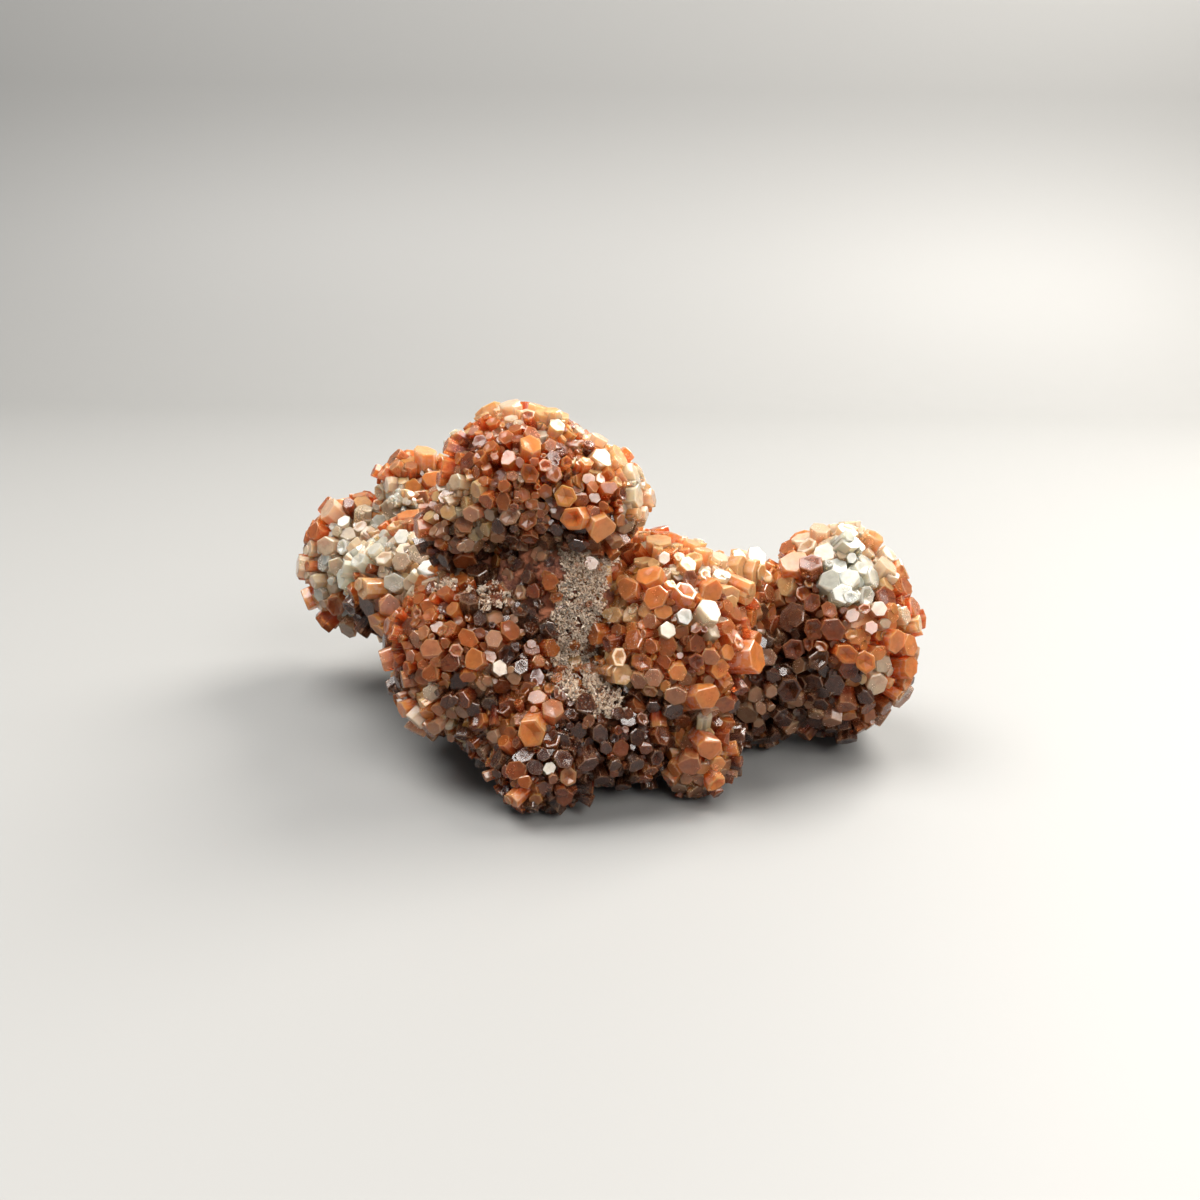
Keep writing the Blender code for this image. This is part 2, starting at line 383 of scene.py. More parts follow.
def crystal_body_group():
    group = Group(
        "crystal_body",
        {
            "Tint": ("colour", (0.6, 0.2, 0.08, 1)),
            "Seed": ("value", 0.0),
            "Rim": ("value", 1.0),
            "Depth": ("value", 0.0),
            "Edge": ("value", 0.0),
            "End": ("value", 0.0),
            "Lines": ("value", 0.0),
            "Core darkness": ("value", 0.5),
            "Root shade": ("value", 1.0),
            "Painted sheen": ("value", 0.3),
        },
        {"Colour": "colour"},
    )
    tree, given = group.tree, group.inside.outputs
    place = shifted(tree, object_place(tree), given["Seed"])
    veils = noise_node(tree, place, 420.0, 3.0, 0.65)
    mottle = ramp(tree, noise_node(tree, place, 950.0, 3.0, 0.6), 0.44, 0.64)

    thick = tree.nodes.new("ShaderNodeGamma")  # light that has gone further is more deeply stained
    tree.links.new(given["Tint"], thick.inputs[0])
    thick.inputs[1].default_value = 1.8
    stain = mix_colour(tree, 1.0, thick.outputs[0], DEEPER_STAIN, "MULTIPLY")
    pale = mix_colour(tree, 0.32, given["Tint"], PALE_STRIPE_AND_EDGE_HIGHLIGHT)

    # painted shade: the sides grow darker and deeper in colour further below the tip
    side = mix_colour(tree, ramp(tree, given["Depth"], 0.08, 0.7), given["Tint"], thick.outputs[0])
    side = mix_colour(tree, product(tree, given["Lines"], 0.45), side, pale)
    stained = product(tree, mottle, product(tree, given["Core darkness"], 0.7))
    cloudy = mix_colour(tree, given["Root shade"], CLOUD, stain)
    side = mix_colour(tree, stained, side, cloudy)

    # painted sheen on the end faces
    painted_sheen = mix_colour(tree, given["Painted sheen"], given["Tint"], PAINTED_END_SHEEN, "MULTIPLY")
    # the end's darker core and paler rim: partly real zoning, partly painted shade and light
    from_middle = math_node(tree, "ADD", given["Rim"], product(tree, veils, 0.7))
    core = ramp(tree, from_middle, 0.35, 1.35, 1.0, 0.0)
    deep = mix_colour(tree, 1.0, painted_sheen, DARK_CORE_AND_SHADE, "MULTIPLY")
    end = mix_colour(tree, product(tree, core, given["Core darkness"]), painted_sheen, deep)
    end = mix_colour(tree, product(tree, stained, 0.5), end, deep)

    colour = mix_colour(tree, given["End"], side, end)
    # painted highlight: the bevelled edges near the tip are paler
    near_tip = ramp(tree, given["Depth"], 0.05, 0.6, 0.45, 0.0)
    colour = mix_colour(tree, product(tree, given["Edge"], near_tip), colour, pale)
    # painted shade: darker towards the root, between the crystals
    root_shaded = mix_colour(tree, 1.0, colour, ROOT_SHADE, "MULTIPLY")
    root = product(tree, ramp(tree, given["Depth"], 0.5, 1.7), given["Root shade"])
    group.give("Colour", mix_colour(tree, root, colour, root_shaded))
    return group.tree


CRYSTAL_BODY = crystal_body_group()
print("the crystal body reads:", [item.name for item in CRYSTAL_BODY.interface.items_tree][1:])

# %% [markdown]
# ## Grown faces
# Grown faces aren't smooth. The sides carry fine lines along the crystal, and the ends are pitted
# and slightly uneven. The template crystals below are unwrapped face by face, so a noise that is
# stretched along the crystal gives the lines their direction. The specks are a dusting of tiny
# pale crystals, which shows most in the valley; they are painted pale and bright, partly as their
# glints.

# %% Grown faces group
ALONG_CRYSTAL = (1.0, 0.05, 1.0)  # how the unwrapped faces are squeezed to stretch the noise


def grown_faces_group():
    group = Group(
        "grown_faces",
        {
            "Seed": ("value", 0.0),
            "Line count": ("value", 26.0),
            "Pit scale": ("value", 2200.0),
            "Dust": ("value", 0.0),
        },
        {"Height": "value", "Roughness": "value", "Specks": "value", "Lines": "value"},
    )
    tree, given = group.tree, group.inside.outputs
    unwrapped = tree.nodes.new("ShaderNodeUVMap")
    unwrapped.uv_map = "faces"
    squeeze = tree.nodes.new("ShaderNodeMapping")
    squeeze.inputs["Scale"].default_value = ALONG_CRYSTAL
    tree.links.new(unwrapped.outputs[0], squeeze.inputs[0])
    moved = shifted(tree, squeeze.outputs[0], given["Seed"])
    lines = noise_node(tree, moved, given["Line count"], 2.0, 0.6)
    group.give("Lines", ramp(tree, lines, 0.46, 0.66))

    place = object_place(tree)
    pits = noise_node(tree, place, given["Pit scale"], 3.0, 0.65)
    unevenness = noise_node(tree, place, 700.0, 1.0)
    height = math_node(tree, "ADD", product(tree, lines, 0.5), unevenness)
    group.give("Height", math_node(tree, "ADD", height, product(tree, pits, 0.18)))
    rough = ramp(tree, noise_node(tree, place, 260.0, 2.0), 0.4, 0.65, 0.12, 0.26)
    pitted = ramp(tree, pits, 0.5, 0.8, 0.0, 0.12)
    group.give("Roughness", math_node(tree, "ADD", rough, pitted))

    flecks = tree.nodes.new("ShaderNodeTexVoronoi")
    tree.links.new(place, flecks.inputs["Vector"])
    flecks.inputs["Scale"].default_value = 2200.0
    near = ramp(tree, flecks.outputs["Distance"], 0.12, 0.34, 1.0, 0.0)
    crusty = ramp(tree, noise_node(tree, place, 800.0, 3.0, 0.7), 0.44, 0.60, 0.25, 1.0)
    dusty = product(tree, crusty, given["Dust"])
    group.give("Specks", math_node(tree, "MULTIPLY", near, dusty, clamp=True))
    return group.tree


GROWN_FACES = grown_faces_group()
print("node groups:", [group.name for group in bpy.data.node_groups])

# %% [markdown]
# ## Crystal materials
# Light goes a few millimetres into a crystal and comes back stained, so every finish mixes
# transmission with subsurface scattering. Brown crystals are milky, with dark cores, partly real
# and partly painted shade, painted shade at the roots and a strong painted sheen on the ends. The
# honey, orange and pale green ones are frosted, the smoky and glassy ones clearer, and the tiny
# points of the druse sugary. All four share the node groups, with values of their own.

# %% Crystal materials
ARAGONITE_IOR = 1.55
MILK_RADIUS = (1.0, 0.88, 0.74)  # how far red, green and blue spread, against MILK_DEPTH
MILK_DEPTH = 1.5 * MM
# pale dust, painted bright partly as its glints
DUST_AND_GLINT = (1.0, 0.93, 0.82, 1)


def new_material(name):
    """A new material, its tree and its shader."""
    made = bpy.data.materials.new(name)
    made.use_nodes = True
    return made, made.node_tree, made.node_tree.nodes["Principled BSDF"]


def attribute(tree, name, output="Fac"):
    node = tree.nodes.new("ShaderNodeAttribute")
    node.attribute_name = name
    return node.outputs[output]


# core sets the darker core, partly painted shade, root the painted shade at the roots, and the last
# argument the painted sheen on the ends
def crystal_material(name, clarity, milk, gloss, core, root, painted_sheen):
    made, tree, shader = new_material(name)
    seed = attribute(tree, "seed")
    faces = place_group(tree, GROWN_FACES, {"Seed": seed, "Dust": attribute(tree, "dust")}).outputs
    body = place_group(
        tree,
        CRYSTAL_BODY,
        {
            "Tint": attribute(tree, "tint", "Color"),
            "Seed": seed,
            **{title: attribute(tree, title.lower()) for title in ("Rim", "Depth", "Edge", "End")},
            "Lines": faces["Lines"],
            "Core darkness": core,
            "Root shade": root,
            "Painted sheen": painted_sheen,
        },
    ).outputs
    dull = ramp(tree, attribute(tree, "polish"), 0.0, 1.0, 1.0, 0.3)
    for title, value in {
        # pale specks of dust, partly painted glints
        "Base Color": mix_colour(tree, faces["Specks"], body["Colour"], DUST_AND_GLINT),
        "Roughness": product(tree, faces["Roughness"], dull),
        "Normal": bump_node(tree, faces["Height"], 0.28, 0.12 * MM),
        "IOR": ARAGONITE_IOR,
        "Specular IOR Level": gloss,
        "Transmission Weight": clarity,
        "Subsurface Weight": milk,
        "Subsurface Radius": MILK_RADIUS,
        "Subsurface Scale": MILK_DEPTH,
    }.items():
        feed(tree, shader.inputs[title], value)
    return made


# root darkness is painted shade at the roots, and the last column a painted sheen on the end faces
FINISHES = {  # in the order of clarity, milk, gloss, core darkness, root darkness and film
    "clear": crystal_material("clear_aragonite", 0.74, 0.85, 0.40, 0.45, 0.3, 0.15),
    "frosted": crystal_material("frosted_aragonite", 0.68, 0.90, 0.30, 0.55, 0.25, 0.15),
    "milky": crystal_material("milky_aragonite", 0.76, 0.90, 0.22, 0.80, 1.0, 0.7),
    "sugary": crystal_material("sugary_druse", 0.40, 0.40, 0.30, 0.20, 0.0, 0.0),
}
print("materials:", [finish.name for finish in FINISHES.values()])

# %% [markdown]
# ## Template crystals
# A real crystal is a prism with six uneven sides, a flat end that is sometimes sunk in the middle,
# and here and there a corner cut off. It could be instanced as one shape, but the repeat would
# show. So two dozen templates are made, each from a cone operator, with its corners moved, its
# edges bevelled and its end inset. A template is one unit wide, with its end at z = 0, and its
# root goes down from there.

# %% Shaping one crystal
TEMPLATE_LENGTH = 2.4  # in crystal widths
GRAIN_LENGTH = 1.4


def random_vector(rng, spread=1.0):
    return Vector([rng.gauss(0, spread) for _ in range(3)])


def prism(bm, rng, radius=0.5, centre=(0.0, 0.0), top=0.0, tilt=0.07):
    """Adds an uneven six-sided prism and returns its vertices."""
    made = bmesh.ops.create_cone(
        bm,
        cap_ends=True,
        segments=6,
        radius1=radius * 0.94,
        radius2=radius,
        depth=TEMPLATE_LENGTH,
        matrix=Matrix.Translation((0, 0, -TEMPLATE_LENGTH / 2)),
    )["verts"]
    stretch = rng.uniform(0.90, 1.12)
    slope = Vector((rng.gauss(0, tilt), rng.gauss(0, tilt)))
    uneven = {}
    for corner in made:
        angle = round(math.atan2(corner.co.y, corner.co.x), 2)
        factor = uneven.setdefault(angle, rng.gauss(1, 0.07))
        corner.co.x *= factor * stretch
        corner.co.y *= factor / stretch
        if corner.co.z > -0.5:
            corner.co.z = top + corner.co.xy.dot(slope)
        corner.co.xy += Vector(centre)
    return made


def grain(bm, rng):
    """Adds a tiny uneven point for the druse."""
    made = bmesh.ops.create_cone(
        bm,
        cap_ends=True,
        segments=4,
        radius1=0.5,
        radius2=0.0,
        depth=GRAIN_LENGTH,
        matrix=Matrix.Translation((0, 0, -GRAIN_LENGTH / 2)),
    )["verts"]
    for corner in made:
        corner.co += random_vector(rng, 0.14)


def cut_corner(bm, rng):
    """Cuts one corner of the end off, as a smaller growth face does."""
    angle = rng.uniform(0, math.tau)
    out = Vector((math.cos(angle), math.sin(angle), 0))
    cut = bmesh.ops.bisect_plane(
        bm,
        geom=bm.verts[:] + bm.edges[:] + bm.faces[:],
        plane_co=out * rng.uniform(0.30, 0.42),
        plane_no=(out + Vector((0, 0, rng.uniform(0.6, 1.8)))).normalized(),
        clear_outer=True,
    )
    edges = [item for item in cut["geom_cut"] if isinstance(item, bmesh.types.BMEdge)]
    bmesh.ops.contextual_create(bm, geom=edges)


def finish_ends(bm, rng, sunk):
    """Bevels the edges, and rings each end face around a middle point that may be sunk."""
    ridges = [edge for edge in bm.edges if max(corner.co.z for corner in edge.verts) > -0.8]
    edge_layer = bm.faces.layers.float.new("edge")
    end_layer = bm.faces.layers.float.new("end")
    narrow = bmesh.ops.bevel(
        bm,
        geom=ridges,
        offset=rng.uniform(0.026, 0.045),
        offset_type="OFFSET",
        affect="EDGES",
        segments=1,
        profile=0.5,
        material=-1,
        clamp_overlap=True,
    )["faces"]
    for face in narrow:
        face[edge_layer] = 1.0
    bm.normal_update()
    for face in bm.faces:
        face[end_layer] = max(0.0, min(1.0, 2.5 * face.normal.z - 0.8)) * (1 - face[edge_layer])
    ends = [face for face in bm.faces if face.normal.z > 0.8 and face.calc_area() > 0.05]
    bmesh.ops.inset_individual(bm, faces=ends, thickness=rng.uniform(0.08, 0.12), depth=0.0)
    inner = {corner for face in ends for corner in face.verts}
    middles = bmesh.ops.poke(bm, faces=ends, offset=-sunk)["verts"]
    return inner, set(middles)

# %% [markdown]
# The shaders need to know where on a crystal they are. So each template stores how near a point is
# to the rim of the end, how deep it lies, and which faces are ends or bevelled edges. It also gets
# an unwrapping in which v runs along the crystal.

# %% Template meshes
TEMPLATE_KINDS = (
    *("single",) * 6,
    *("chipped",) * 4,
    *("hollow",) * 4,
    *("stepped",) * 6,
    "mirror",
    *("grain",) * 3,
)


def template_mesh(name, bm, inner, middles, deep=1.0):
    """Stores what the shader needs on the template, then turns it into a mesh."""
    bm.normal_update()
    rim = bm.verts.layers.float.new("rim")
    depth = bm.verts.layers.float.new("depth")
    unwrap = bm.loops.layers.uv.new("faces")
    for corner in bm.verts:
        corner[rim] = 0.0 if corner in middles else 0.8 if corner in inner else 1.0
        corner[depth] = deep * max(0.0, -corner.co.z)
    for number, face in enumerate(bm.faces):
        flat = abs(face.normal.z) > 0.6
        across = Vector((-face.normal.y, face.normal.x, 0)).normalized()
        for loop in face.loops:
            co = loop.vert.co
            at = (co.x, co.y * 20) if flat else (co.dot(across), co.z)
            loop[unwrap].uv = (at[0] + number * 1.7, at[1])
    mesh = bpy.data.meshes.new(name)
    bm.to_mesh(mesh)
    bm.free()
    return mesh


def make_template(number, kind):
    """One template crystal, or two or three that have grown side by side."""
    rng = random.Random(100 + number)
    bm = bmesh.new()
    if kind == "grain":
        grain(bm, rng)
        return template_mesh(f"template_{number:02d}", bm, (), (), deep=0.05)
    prism(bm, rng, tilt={"mirror": 0.0, "chipped": 0.14}.get(kind, 0.07))
    if kind == "chipped":
        cut_corner(bm, rng)
        if number % 2:
            cut_corner(bm, rng)
    if kind == "stepped":
        for _ in range(rng.choice((1, 2, 2))):
            angle = rng.uniform(0, math.tau)
            off = rng.uniform(0.28, 0.42)
            prism(
                bm,
                rng,
                radius=rng.uniform(0.22, 0.36),
                centre=(off * math.cos(angle), off * math.sin(angle)),
                top=rng.uniform(-0.45, 0.12),
            )
    dents = {"hollow": rng.uniform(0.12, 0.26), "mirror": 0.0}
    sunk = dents.get(kind, rng.choice((0.0, 0.03, -0.03)))
    inner, middles = finish_ends(bm, rng, sunk)
    return template_mesh(f"template_{number:02d}", bm, inner, middles)


templates = bpy.data.collections.new("templates")
bpy.context.scene.collection.children.link(templates)
for number, kind in enumerate(TEMPLATE_KINDS):
    mesh = make_template(number, kind)
    for suffix, finish in FINISHES.items():
        copy = mesh.copy()
        copy.materials.append(finish)
        templates.objects.link(bpy.data.objects.new(f"{suffix}_{number:02d}", copy))
most_faces = max(len(shape.data.polygons) for shape in templates.objects)

# %% [markdown]
# ## Listed crystals
# Some crystals are too telling to be left to chance, such as the big orange blocks, the steps
# beside the valley and the few ends that shine white. Each is placed on its lobe by the direction
# that it stands in and the direction that it faces. The shining ones face halfway between the
# camera and the front light, where an end works as a mirror.

# %% Listed crystals
FRONT_LIGHT = Vector((330.0, -820.0, 560.0))  # its place in mm
MIRROR = None  # in place of a direction, for an end that mirrors the front light

Accent = namedtuple("Accent", "azimuth elevation faces width out colour kind")
ACCENTS = {
    "crown_left": (
        Accent(200, 82, (250, 70), 4.1, 2.0, "cream", "chipped"),
        Accent(325, 63, (300, 80), 4.5, 2.0, "honey", "stepped"),
        Accent(345, 60, (330, 75), 4.0, 1.7, "honey", "stepped"),
        Accent(281, 34, (284, 58), 4.0, 1.6, "orange", "single"),
        Accent(279, 17, (275, 22), 3.4, 0.6, "brick", "hollow"),
        Accent(296, 17, (280, 26), 3.4, 0.6, "brick", "single"),
        Accent(238, -12, (240, 0), 3.4, 0.8, "smoke", "single"),
        Accent(266, -10, (268, 0), 3.6, 0.8, "smoke", "hollow"),
        Accent(150, 60, (140, 60), 5.0, 1.7, "honey", "stepped"),
    ),
    "crown_right": (
        Accent(317, 66, (340, 60), 3.2, 2.2, "cream", "single"),
        Accent(300, 46, (318, 40), 4.4, 1.2, "honey", "chipped"),
        Accent(332, 46, (345, 45), 4.0, 0.8, "honey", "stepped"),
        Accent(335, 26, (350, 26), 4.0, 0.6, "cream", "stepped"),
        Accent(326, 10, (345, 8), 4.2, 0.6, "cream", "stepped"),
        Accent(264, 15, (272, 14), 4.0, 0.8, "orange", "hollow"),
        Accent(282, 28, MIRROR, 2.4, 0.3, "rose", "mirror"),
        Accent(285, 14, MIRROR, 2.2, 0.3, "rose", "mirror"),
        Accent(272, 0, (245, 8), 4.8, 1.6, "orange", "hollow"),
        Accent(288, -6, (300, -25), 5.2, 1.6, "orange", "chipped"),
    ),
    "left_ball": (
        Accent(226, 55, (200, 45), 5.0, 2.5, "cream", "single"),
        Accent(215, 5, (195, 15), 4.9, 2.2, "cream", "single"),
        Accent(205, -25, (190, -25), 4.9, 2.0, "orange", "chipped"),
        Accent(215, -45, (205, -40), 5.0, 2.2, "brick", "single"),
        Accent(250, -18, (262, -8), 4.7, 1.4, "rose", "hollow"),
        Accent(120, 25, (120, 30), 5.2, 1.7, "honey", "single"),
    ),
    "left_top": (
        Accent(290, 62, (285, 78), 5.0, 2.0, "honey", "single"),
    ),
    "left_neck": (
        Accent(299, 70, (262, 35), 4.1, 1.0, "cream", "single"),
        Accent(238, 10, (215, 8), 5.0, 2.0, "honey", "stepped"),
        Accent(254, 0, (285, 12), 4.6, 2.0, "rose", "chipped"),
        Accent(245, -14, (225, -10), 4.8, 1.7, "orange", "stepped"),
    ),
    "left_shoulder": (
        Accent(244, 18, (250, 20), 3.8, 1.0, "rose", "chipped"),
        Accent(280, 11, MIRROR, 3.0, 0.8, "cream", "mirror"),
        Accent(268, 15, (255, 25), 3.8, 1.0, "orange", "chipped"),
        Accent(287, 29, (290, 32), 3.6, 0.7, "brick", "chipped"),
        Accent(223, -20, (210, -10), 3.6, 1.7, "orange", "single"),
        Accent(232, -22, (215, -35), 3.8, 1.9, "cream", "stepped"),
    ),
    "belly": (
        Accent(246, 12, (262, 4), 5.5, 2.9, "orange", "hollow"),
        Accent(254, 22, (285, 50), 4.2, 1.2, "rose", "chipped"),
    ),
    "left_foot": (
        Accent(282, 28, MIRROR, 2.4, 0.3, "cream", "mirror"),
        Accent(305, 15, (285, 14), 3.4, 0.7, "rose", "hollow"),
        Accent(237, -14, (222, -25), 3.8, 1.0, "orange", "stepped"),
    ),
    "right_shoulder": (
        Accent(220, 80, (265, 72), 5.0, 1.5, "honey", "single"),
        Accent(256, 66, MIRROR, 2.4, 1.4, "cream", "mirror"),
        Accent(284, 60, (300, 50), 3.5, 0.9, "honey", "stepped"),
        Accent(296, 42, (292, 8), 4.2, 1.5, "orange", "stepped"),
        Accent(312, 40, (305, 5), 4.2, 1.4, "honey", "stepped"),
        Accent(340, 38, (325, -12), 4.5, 2.4, "honey", "stepped"),
        Accent(275, 29, MIRROR, 2.8, 0.9, "celadon", "chipped"),
        Accent(266, 22, MIRROR, 3.0, 0.7, "cream", "mirror"),
        Accent(250, 50, (235, 50), 4.9, 1.4, "orange", "chipped"),
        Accent(236, 42, (240, 35), 4.2, 1.4, "orange", "chipped"),
        Accent(258, 38, (255, 30), 4.4, 1.2, "orange", "single"),
        Accent(238, 4, (285, 26), 3.2, 3.2, "honey", "hollow"),
        Accent(239, -4, (290, 18), 3.9, 3.6, "honey", "stepped"),
        Accent(308, 4, (335, 10), 6.0, 3.9, "orange", "single"),
        Accent(288, 9, (268, 4), 3.4, 0.8, "rose", "mirror"),
        Accent(283, -12, (308, 26), 4.9, 2.7, "orange", "chipped"),
        Accent(300, -20, (285, -10), 3.8, 1.4, "brick", "single"),
    ),
    "right_foot": (
        Accent(280, 35, (290, 0), 4.5, 1.7, "orange", "chipped"),
        Accent(258, 12, (262, -10), 4.2, 1.2, "rose", "chipped"),
    ),
    "ridge": (
        Accent(302, 55, (325, 5), 4.9, 2.2, "honey", "stepped"),
        Accent(285, 60, (315, 15), 4.5, 2.0, "honey", "stepped"),
    ),
    "right_ball": (
        Accent(213, 56, (262, 48), 5.4, 1.9, "orange", "chipped"),
        Accent(254, 50, (278, 34), 4.6, 1.0, "celadon", "chipped"),
        Accent(271, 52, (262, 42), 4.3, 0.8, "celadon", "chipped"),
        Accent(271, 31, MIRROR, 2.8, 0.8, "rose", "mirror"),
        Accent(291, 34, MIRROR, 3.0, 1.0, "cream", "mirror"),
        Accent(284, 24, MIRROR, 2.6, 0.7, "rose", "mirror"),
        Accent(313, -6, (312, 18), 4.6, 2.4, "orange", "mirror"),
        Accent(301, 14, (292, 12), 4.5, 1.5, "orange", "chipped"),
        Accent(316, 9, (305, 6), 4.5, 1.5, "orange", "chipped"),
        Accent(247, 22, (268, 14), 4.3, 1.2, "rust", "hollow"),
        Accent(236, 8, (258, 14), 4.3, 1.4, "rust", "hollow"),
        Accent(252, 4, (270, 6), 4.0, 0.8, "umber", "hollow"),
        Accent(268, 9, (280, 10), 4.1, 1.0, "brick", "hollow"),
        Accent(280, 4, (262, 14), 4.5, 1.4, "orange", "hollow"),
        Accent(187, 80, (255, 72), 4.1, 1.5, "cream", "single"),
        Accent(290, 82, (280, 66), 4.3, 1.7, "cream", "chipped"),
        Accent(70, 20, (70, 20), 4.8, 1.7, "orange", "stepped"),
    ),
    "right_neck": (
        Accent(292, 6, (276, -4), 5.0, 2.4, "umber", "hollow"),
    ),
    "back_left": (
        Accent(110, 30, (110, 25), 6.8, 2.9, "orange", "chipped"),
    ),
    "back_right": (
        Accent(80, 35, (80, 30), 6.3, 2.7, "honey", "stepped"),
        Accent(120, 5, (125, 0), 5.0, 1.7, "brick", "chipped"),
    ),
}


def way_of(azimuth, elevation):
    """A direction: azimuth 0 is +X and 270 the front, elevation 90 is up. Both in degrees."""
    a, e = math.radians(azimuth), math.radians(elevation)
    return Vector((math.cos(a) * math.cos(e), math.sin(a) * math.cos(e), math.sin(e)))


print("hand-placed crystals:", sum(len(accents) for accents in ACCENTS.values()))

# %% [markdown]
# ## Where the crystals stand
# Crystals fill a lobe's surface without leaving room between them. Points on a spiral would be too
# even, so this throws darts: wide crystals land first, and narrower ones are then tried in the
# gaps that are left.

# %% Throwing darts
SIZE_STEPS = (  # width against the lobe's usual one, and how many are tried for each that would fit
    (1.4, 0.06),
    (1.15, 0.6),
    (1.0, 2.2),
    (0.82, 3.0),
    (0.62, 4.0),
    (0.45, 4.0),
)
SPACING = 0.83  # between two crystals, against their mean width


def throw_darts(lobe, taken, rng):
    """Yields (point, normal, width) for crystals that don't crowd each other."""
    centre, radii = np.array(lobe.centre), np.array(lobe.radii)
    area = 4 * math.pi * float(np.prod(radii)) ** (2 / 3)
    points = np.array([tip for tip, _ in taken]).reshape(-1, 3)
    widths = np.array([width for _, width in taken])
    for share, tries in SIZE_STEPS:
        for _ in range(round(tries * area / (share * lobe.crystal_width) ** 2)):
            width = share * lobe.crystal_width * rng.uniform(0.92, 1.08)
            way = np.array([rng.gauss(0, 1) for _ in range(3)])
            way /= np.linalg.norm(way)
            point = centre + way * radii
            room = SPACING * (widths + width) / 2
            if len(points) and (np.linalg.norm(points - point, axis=1) < room).any():
                continue
            points = np.vstack([points, point])
            widths = np.append(widths, width)
            normal = way / radii
            yield point, normal / np.linalg.norm(normal), width


crown_width = LOBES["crown_left"].crystal_width
print("widths tried on the crown, mm:", [round(share * crown_width, 1) for share, _ in SIZE_STEPS])

# %% [markdown]
# Every crystal points along the surface normal, pushed a little by a slow noise, so that neighbours
# lean together in sprays. One that would end up inside another lobe isn't planted, and one that
# would go through the floor is pulled in.

# %% Planting crystals
Planted = namedtuple("Planted", "tip axis width colour dust polish kind")

BURIED = 1.6  # mm below another lobe's surface
KNOB_CLEARANCE, STONE_EDGE = 1.08, 0.97  # against the radii
SWAY_LENGTH, SWAY = 9.0, 0.38
SPREAD, SMALL_SPREAD = 0.14, 0.19
DEEPEST, HIGHEST = -2.0, 2.4  # how far an end may stand from the surface, in mm
FLOOR_GAP = 0.4
VALLEY = Vector((-2.0, -30.0, 30.0))
KIND_CHANCES = {"single": 8, "chipped": 6, "hollow": 4, "stepped": 7}
GLINT_CHANCE = 0.05
SPRAYS = (  # where the crystals stand further out: centre, radius and height in mm
    ((-9.0, -14.0, 71.0), 7.0, 1.0),
    ((28.0, -8.0, 39.0), 8.0, 1.2),
    ((65.0, -8.0, 25.0), 9.0, 1.0),
    ((-66.0, 18.0, 28.0), 9.0, 1.2),
)


def is_buried(tip, own_name):
    for name, lobe in LOBES.items():
        depth = (1 - reach(tip, lobe.centre, lobe.radii)) * min(lobe.radii)
        if name != own_name and depth > BURIED:
            return True
    if own_name == "stone":
        return any(reach(tip, centre, radii) < KNOB_CLEARANCE for centre, radii in KNOBS)
    return reach(tip, STONE.centre, STONE.radii) < STONE_EDGE


def sway_at(point):
    """A slow swirl, alike for neighbours and different further off."""
    apart = [Vector((0, 0, 31.7 * axis)) for axis in range(3)]
    return Vector([noise.noise(point / SWAY_LENGTH + shift) for shift in apart])


def dust_at(tip):
    """How dusty a crystal's faces are: 1 in the valley, and 0.15 well away from it."""
    return max(0.15, min(1.0, 1.7 - (tip - VALLEY).length / 11.0))


def facing_glint(tip):
    """The direction halfway between the camera and the front light."""
    to_camera = (CAMERA_PLACE / MM - tip).normalized()
    return (to_camera + (FRONT_LIGHT - tip).normalized()).normalized()


def above_floor(tip, axis, width):
    """Pulls a crystal in along its own axis until its end clears the floor."""
    lowest = tip.z - FLOOR_GAP - 0.75 * width * math.sqrt(max(0.0, 1 - axis.z**2))
    return tip + axis * (lowest / max(0.2, -axis.z)) if lowest < 0 else tip


def plant_accent(lobe, accent):
    way = way_of(accent.azimuth, accent.elevation)
    tip = Vector(lobe.centre) + way / reach(way, (0, 0, 0), lobe.radii)
    axis = way_of(*accent.faces) if accent.faces else facing_glint(tip)
    polish = 1.0 if accent.kind == "mirror" else 0.3
    tip = above_floor(tip + axis * accent.out, axis, accent.width)
    return Planted(tip, axis, accent.width, accent.colour, dust_at(tip) * 0.3, polish, accent.kind)


def standing_out(point, width, usual_width, rng):
    """How far a crystal's end stands out from the lobe, in mm."""
    out = rng.gauss(0, 0.9) + 0.45 * (width - usual_width)
    out += 1.6 * noise.noise(point / 8.0 + Vector((7, 0, 0)))
    for centre, radius, height in SPRAYS:
        out += height * max(0.0, 1 - (point - Vector(centre)).length / radius)
    return max(DEEPEST, min(out, HIGHEST, 0.3 + 0.6 * width))


def plant_lobe(name, lobe):
    rng = random.Random(name)
    planted = [plant_accent(lobe, accent) for accent in ACCENTS.get(name, ())]
    taken = [(crystal.tip - crystal.axis * 1.5, crystal.width) for crystal in planted]
    for point, normal, width in throw_darts(lobe, taken, rng):
        point = Vector(point)
        small = width < 0.75 * lobe.crystal_width
        spread = SMALL_SPREAD if small else SPREAD
        axis = (Vector(normal) + SWAY * sway_at(point) + random_vector(rng, spread)).normalized()
        tip = above_floor(point + axis * standing_out(point, width, lobe.crystal_width, rng), axis, width)
        if is_buried(tip, name) or tip.z < 0:
            continue
        colour = crystal_colour(tip, axis, rng)
        kind = rng.choices(list(KIND_CHANCES), KIND_CHANCES.values())[0]
        polish = 0.5 * rng.random() ** 2
        if small and rng.random() < GLINT_CHANCE and axis.dot(facing_glint(tip)) > 0.7 and tip.z > 20:
            axis, polish, kind = facing_glint(tip), 1.0, "mirror"
        planted.append(Planted(tip, axis, width, colour, dust_at(tip), polish, kind))
    return planted


crystals_of = {name: plant_lobe(name, lobe) for name, lobe in LOBES.items()}
crystals_of["stone"] = plant_lobe("stone", STONE)
print("crystals:", {name: len(planted) for name, planted in crystals_of.items()})

# %% [markdown]
# ## Growing the pieces
# A mesh of bare points holds each crystal's place, turn, size and colour. Geometry Nodes puts a
# template on every point and realizes the result, so it ends as one plain mesh.

